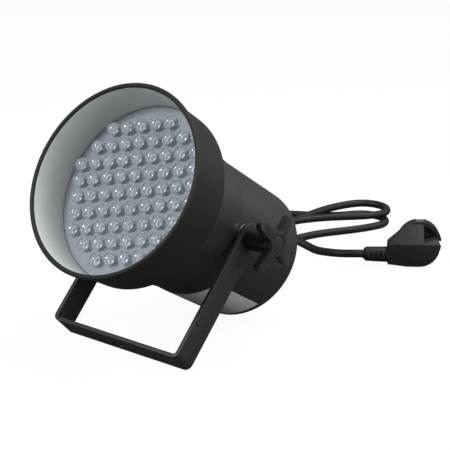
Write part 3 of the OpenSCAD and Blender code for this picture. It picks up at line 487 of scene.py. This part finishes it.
# %% [markdown]
# ## Hood, shoulder, barrel and can
#
# The hood is a spun cone with a rolled bead at its rim, black outside and grey inside. A half section with
# rounded corners, turned about the axis, gives the roll and the small radii of the sheet in one go. The faces
# that look inward behind the bead get the lining. The rear end of the barrel is drawn in to meet the can, which
# leaves a soft line of light around the joint. The can is bored at the pivot like its solid, so that the studs of
# the knobs pass through.

# %% Spin the hood
SHOULDER_Z, SHOULDER_R, HOOD_REAR_R, HOOD_FRONT_R = 131.0, 65.0, 66.0, 67.52
BEAD_Z, RIM_R, BEAD_R = 166.6, 70.0, 1.7
# A rounding as long as its edge would close it, so it stops this much short.
SHORT = 0.01
hood_mesh = spun([(HOOD_REAR_R, SHOULDER_Z, 0.5), (HOOD_FRONT_R, BEAD_Z, 0), (RIM_R, BEAD_Z, BEAD_R - SHORT),
                  (RIM_R, CAN_LEN, BEAD_R), (RIM_R - 2 * BEAD_R, CAN_LEN, BEAD_R), (SHOULDER_R, SHOULDER_Z, 0.2)],
                 place=UPRIGHT)
for face in hood_mesh.faces:
    centre = face.calc_center_median()
    inward = face.normal.dot(Vector((centre.x, centre.y, 0)).normalized())
    face.material_index = 1 if inward < -FACING and centre.z < BEAD_Z * MM else 0
bmesh.ops.transform(hood_mesh, matrix=CAN, verts=hood_mesh.verts)
piece("hood_shell", hood_mesh, "can", [hood_enamel, lining], ["hood"])

# %% Spin the shoulder, the barrel and the can
SHEET_T, LAP_GAP = 1.0, 0.02
BARREL_Z, BARREL_FRONT_R, LAP_R = 85.0, 53.2, 51.4
CAN_TOP_Z, CAN_REAR_R, CAN_EDGE_R = 97.0, 50.0, 5.0
can_r, bore_r = LAP_R - LAP_GAP, LAP_R - SHEET_T
# The drawn-in end of the barrel: radius, height above its rear edge, and rounding.
DRAWN_IN = ((51.75, 0, 0.1), (52.1, 2.2, 0), (52.4, 5, 0), (52.53, 9, 0), (52.66, 15, 0))
drawn_end = [(r, BARREL_Z + rise, edge) for r, rise, edge in DRAWN_IN]
# The can has a ring of edges behind the pivot holes, so that they only cut the faces in front of it.
PIVOT_BORE_R, RING_Z, RING_R = 6.0, 69.0, 51.12

shoulder = spun([(BARREL_FRONT_R - SHEET_T, SHOULDER_Z, 0), (SHOULDER_R, SHOULDER_Z, 0),
                 (SHOULDER_R, SHOULDER_Z + SHEET_T, 0), (BARREL_FRONT_R - SHEET_T, SHOULDER_Z + SHEET_T, 0)])
barrel = spun([(LAP_R + LAP_GAP, BARREL_Z, 0.1)] + drawn_end
              + [(BARREL_FRONT_R, SHOULDER_Z, 0), (BARREL_FRONT_R - SHEET_T, SHOULDER_Z, 0)])
can = spun([(0, 0, 0), (CAN_REAR_R, 0, CAN_EDGE_R), (RING_R, RING_Z, 0), (can_r, BARREL_Z, 0), (can_r, CAN_TOP_Z, 0.3),
            (bore_r, CAN_TOP_Z, 0.3), (bore_r, BARREL_Z, 0), (RING_R - SHEET_T, RING_Z, 0),
            (CAN_REAR_R - SHEET_T, SHEET_T, CAN_EDGE_R - SHEET_T), (0, SHEET_T, 0)], closed=False)
for name, sheet, node in (("shoulder_plate", shoulder, "shoulder_ring"), ("barrel_tube", barrel, "barrel"),
                          ("can_shell", bored(can, pivot, PIVOT_BORE_R), "rear_can")):
    piece(name, sheet, "can", [enamel], [node])

# %% [markdown]
# ## Lamps
#
# A lamp is a bullet of epoxy with a dome, a round body and a flange. Inside it a silvered frame carries the
# chip in a small cup, and the dome enlarges it. One lamp is turned, and copies of it fill the rows, three
# colours in turn. Few faces are enough, because there are 69 of them.

# %% Turn one lamp, its frame and its foot
PLATE_Z, PLATE_T, LAMP_R, LAMP_PROUD = 137.3, 1.2, 5.0, 12.0
FLANGE_T, FLANGE_R, LENS_SIDES, CUP_SIDES = 1.0, 5.6, 24, 12
FOOT_Z, LAMP_TOP = PLATE_Z - PLATE_T - FLANGE_T, PLATE_Z + LAMP_PROUD
# Radius and height above the foot of the lamp. The legs have a place across, a width and a height.
CUP = ((0, 6.8), (0.7, 6.8), (1.4, 7.8), (1.6, 7.8), (1.3, 6.2), (0, 6.2))
FOOT = ((0, 0.3), (4.8, 0.3), (4.6, 1.6), (0, 1.6))
LEGS, LEG_T = ((-0.9, 1.9, 6.6), (1.2, 0.7, 6.0)), 0.6


def turned(profile, sides, dome=()):
    """Lamp part from its half section, on the axis of the can."""
    corners = [(r, FOOT_Z + height, 0) for r, height in profile]
    return spun(corners + list(dome), closed=False, around=sides, place=UPRIGHT)


lens = turned(((0, 0), (FLANGE_R, 0), (FLANGE_R, FLANGE_T), (LAMP_R, FLANGE_T)), LENS_SIDES,
              ((LAMP_R, LAMP_TOP, LAMP_R - SHORT), (0, LAMP_TOP, 0)))
carrier, foot = turned(CUP, CUP_SIDES), turned(FOOT, LENS_SIDES)
for x, wide, high in LEGS:
    leg = bmesh.ops.create_cube(carrier, size=1.0)["verts"]
    bmesh.ops.scale(carrier, vec=(wide * MM, LEG_T * MM, high * MM), verts=leg)
    bmesh.ops.translate(carrier, vec=(x * MM, 0, (FOOT_Z + high / 2) * MM), verts=leg)
for face in foot.faces:
    face.material_index = 1
one_lens, one_carrier, one_foot = (bpy.data.meshes.new(n) for n in ("one_lens", "one_carrier", "one_foot"))
foot.to_mesh(one_foot)
carrier.from_mesh(one_foot)
lens.to_mesh(one_lens)
carrier.to_mesh(one_carrier)
for bm in (lens, carrier, foot):
    bm.free()
print("faces of one lamp:", len(one_lens.polygons), "of its frame and foot:", len(one_carrier.polygons))

# %% Fill the rows
ROWS = (5, 7, 9, 9, 9, 9, 9, 7, 5)
LAMP_PITCH, LAMP_TURN = 12.0, math.radians(16)
COLOURS = ("red", "green", "blue")
# A multiple of the number of colours, large enough to keep each sum positive.
CELL_SHIFT = 9 * len(COLOURS)
CELLS = [(col - (n - 1) / 2, row - (len(ROWS) - 1) / 2) for row, n in enumerate(ROWS) for col in range(n)]
for k, colour in enumerate(COLOURS):
    lenses, frames = bmesh.new(), bmesh.new()
    for col, row in (cell for cell in CELLS if int(sum(cell) + CELL_SHIFT) % len(COLOURS) == k):
        place = (CAN @ Matrix.Rotation(LAMP_TURN, 4, "Z")
                 @ Matrix.Translation((LAMP_PITCH * col * MM, LAMP_PITCH * row * MM, 0)))
        for target, source in ((lenses, one_lens), (frames, one_carrier)):
            start = len(target.verts)
            target.from_mesh(source)
            target.verts.ensure_lookup_table()
            bmesh.ops.transform(target, matrix=place, verts=target.verts[start:])
    piece(f"{colour}_lamp_lenses", lenses, "can", [epoxy], [f"{colour}_leds"])
    inside = piece(f"{colour}_lamp_frames", frames, "can", [lead_frame, foot_resin], [])
    # The dome enlarges the thin frame for the eye only, so it neither shades nor lights the plate.
    inside.visible_shadow = inside.visible_diffuse = False

# %% [markdown]
# ## Yoke and knobs
#
# The yoke is a flat bar bent twice, and the knobs are four-armed stars. Their CAD shapes are right, but bars and
# mouldings never have knife edges: merged copies get small rounded edges, which catch the light. The bar comes
# as a crossbar and two arms, which are joined before the rounding.

# %% Round the yoke, the knobs and the gland
YOKE_NODES, YOKE_JOIN_X = ["yoke_crossbar", "yoke_arm_left", "yoke_arm_right"], 53.2 * MM
BAR_EDGE, STAR_EDGE, SMALL_EDGE = 0.5, 0.8, 0.4
piece("yoke_bar", eased(YOKE_NODES, BAR_EDGE, join_x=YOKE_JOIN_X), "yoke", [enamel], YOKE_NODES)
for side in ("left", "right"):
    knob = f"knob_{side}"
    piece(f"star_{knob}", eased([knob], STAR_EDGE), knob, [knob_nylon], [knob])
    piece(f"star_cap_{side}", eased([f"{knob}_cap"], SMALL_EDGE), knob, [knob_nylon],
          [f"{knob}_cap"])
for name, node in (("gland_hexagon", "gland_body"), ("gland_nut", "gland_cap")):
    piece(name, eased([node], SMALL_EDGE), "can", [gland_nylon], [node])

# %% [markdown]
# ## Plug
#
# The plug is moulded on to the lead: a round face, a leaning grip with a finger hollow, and a ribbed relief that
# thins toward the cord. The edges of such a moulding are rounder than those of metal.

# %% Mould the plug and its relief
PLUG_EDGE, RIB_EDGE, RIB_STEPS = 1.2, 0.3, 2
plug_shell = piece("plug_shell", eased(["plug_body"], PLUG_EDGE), "can", [plug_pvc], ["plug_body"])
relief_sleeve = piece("relief_sleeve", eased(["plug_relief"], RIB_EDGE, RIB_STEPS), "can",
                      [plug_pvc], ["plug_relief"])

# %% [markdown]
# ## Solids that stay
#
# Screws, posts, boards and the pieces inside the can keep their CAD solids, whose shape is right. They only get
# the finishes above.

# %% Finishes of the solids that stay
KEPT = {plate_with_painted_shade: ["led_plate"], green_mask: ["led_board"], label_with_painted_bounce: ["blank_label"], rubber: ["clamp_washers"],
        zinc: ["plate_posts", "plate_screws", "pivot_inserts", "pivot_bushes", "knob_left_stud", "knob_right_stud",
               "terminal_screws", "board_posts", "board_screws", "earth_screw"],
        chip_epoxy: ["led_resistors", "driver_transistors", "controller_chip"], gland_nylon: ["gland_locknut"],
        sheath: ["cable_end"], wire_pvc: ["mains_wires"], terminal_nylon: ["terminal_block"],
        brown_board: ["supply_board"], core_iron: ["transformer_core"], copper: ["transformer_coil"],
        sleeve: ["smoothing_capacitor"], fuse_glass: ["fuse"], brass: ["fuse_clips"], header_nylon: ["board_headers"],
        ribbon_pvc: ["ribbon_cable"], nickel: ["plug_pins", "plug_earth_clips"]}
for material, nodes in KEPT.items():
    for node in nodes:
        frame["nodes"][node].material_slots[0].material = material
print("solids that stay:", sum(len(nodes) for nodes in KEPT.values()))

# %% [markdown]
# ## Floor
#
# The photograph has a white ground with hardly any shadow, but the undersides of the black pieces are dark: the
# object stood on something greyer. So the floor shows white to the camera and through the lamps, with a small
# share of plain matt paint that keeps the object's soft shadow, and all other rays meet it as grey paper.

# %% White floor
WHITE_SHARE = 0.94
# The floor reaches this far each way, in m, and lies this far below the object, in mm, so that no faces meet.
FLOOR_HALF, FLOOR_DROP = 6.0, 0.2
floor_mesh = bmesh.new()
bmesh.ops.create_grid(floor_mesh, x_segments=1, y_segments=1, size=FLOOR_HALF)
floor_data = bpy.data.meshes.new("studio_floor")
floor_mesh.to_mesh(floor_data)
floor_mesh.free()
floor = bpy.data.objects.new("studio_floor", floor_data)
floor.location.z = -FLOOR_DROP * MM
bpy.context.scene.collection.objects.link(floor)

floor_paint, tree = fresh_tree("white_floor_paint", bpy.data.materials)
seen = seen_rays(tree, EYE_RAYS)
share = add(tree, "ShaderNodeMath", {"operation": "MULTIPLY", 1: WHITE_SHARE}, {0: seen})
paper = add(tree, "ShaderNodeMix", {"data_type": "RGBA", 6: linear("#707070"), 7: WHITE}, {0: seen})
matt = add(tree, "ShaderNodeBsdfDiffuse", {}, {"Color": paper.outputs[2]})
glow = add(tree, "ShaderNodeEmission", {"Color": WHITE, "Strength": 1.0})
blend = add(tree, "ShaderNodeMixShader", {}, {0: share.outputs[0], 1: matt.outputs[0], 2: glow.outputs[0]})
add(tree, "ShaderNodeOutputMaterial", {}, {"Surface": blend.outputs[0]})
floor_data.materials.append(floor_paint)
print("white share of the floor:", WHITE_SHARE)

# %% [markdown]
# ## World and soft boxes
#
# The world is white to the camera and through the lamps, and lights the object at a plain level. The front box
# hangs near the axis of the hood, so that it lights the lining evenly and leaves a glint on each dome. The top box
# hangs behind the rim and models the round can, the side box lights the arm and the knob, and the weak rear box
# lifts the edge of the can and the lead.

# %% Light the studio
WORLD_LIGHT = 0.3
world, tree = fresh_tree("white_studio", bpy.data.worlds)
bpy.context.scene.world = world
seen = seen_rays(tree, EYE_RAYS)
plain = add(tree, "ShaderNodeBackground", {"Color": WHITE, "Strength": WORLD_LIGHT})
white = add(tree, "ShaderNodeBackground", {"Color": WHITE, "Strength": 1.0})
mixed = add(tree, "ShaderNodeMixShader", {}, {0: seen, 1: plain.outputs[0], 2: white.outputs[0]})
add(tree, "ShaderNodeOutputWorld", {}, {"Surface": mixed.outputs[0]})

# Place and aim in m, size in m, power in W.
BOXES = {"front_box": ((-0.25, -1.0, 0.85), (0, 0, 0.1), 0.35, 13.0),
         "top_box": ((0.45, 0.6, 1.35), (0, 0.05, 0.1), 0.7, 17.0),
         "side_box": ((1.2, 0.05, 0.42), (0.08, 0, 0.08), 0.5, 5.5),
         "rear_box": ((0.35, 0.75, 0.35), (0, 0.05, 0.1), 0.4, 0.8)}
for name, (place, aim, size, power) in BOXES.items():
    box = bpy.data.lights.new(name, "AREA")
    box.size, box.energy = size, power
    hung = bpy.data.objects.new(name, box)
    hung.location = place
    hung.rotation_euler = (Vector(aim) - Vector(place)).to_track_quat("-Z", "Y").to_euler()
    bpy.context.scene.collection.objects.link(hung)
print("soft boxes:", sorted(BOXES))
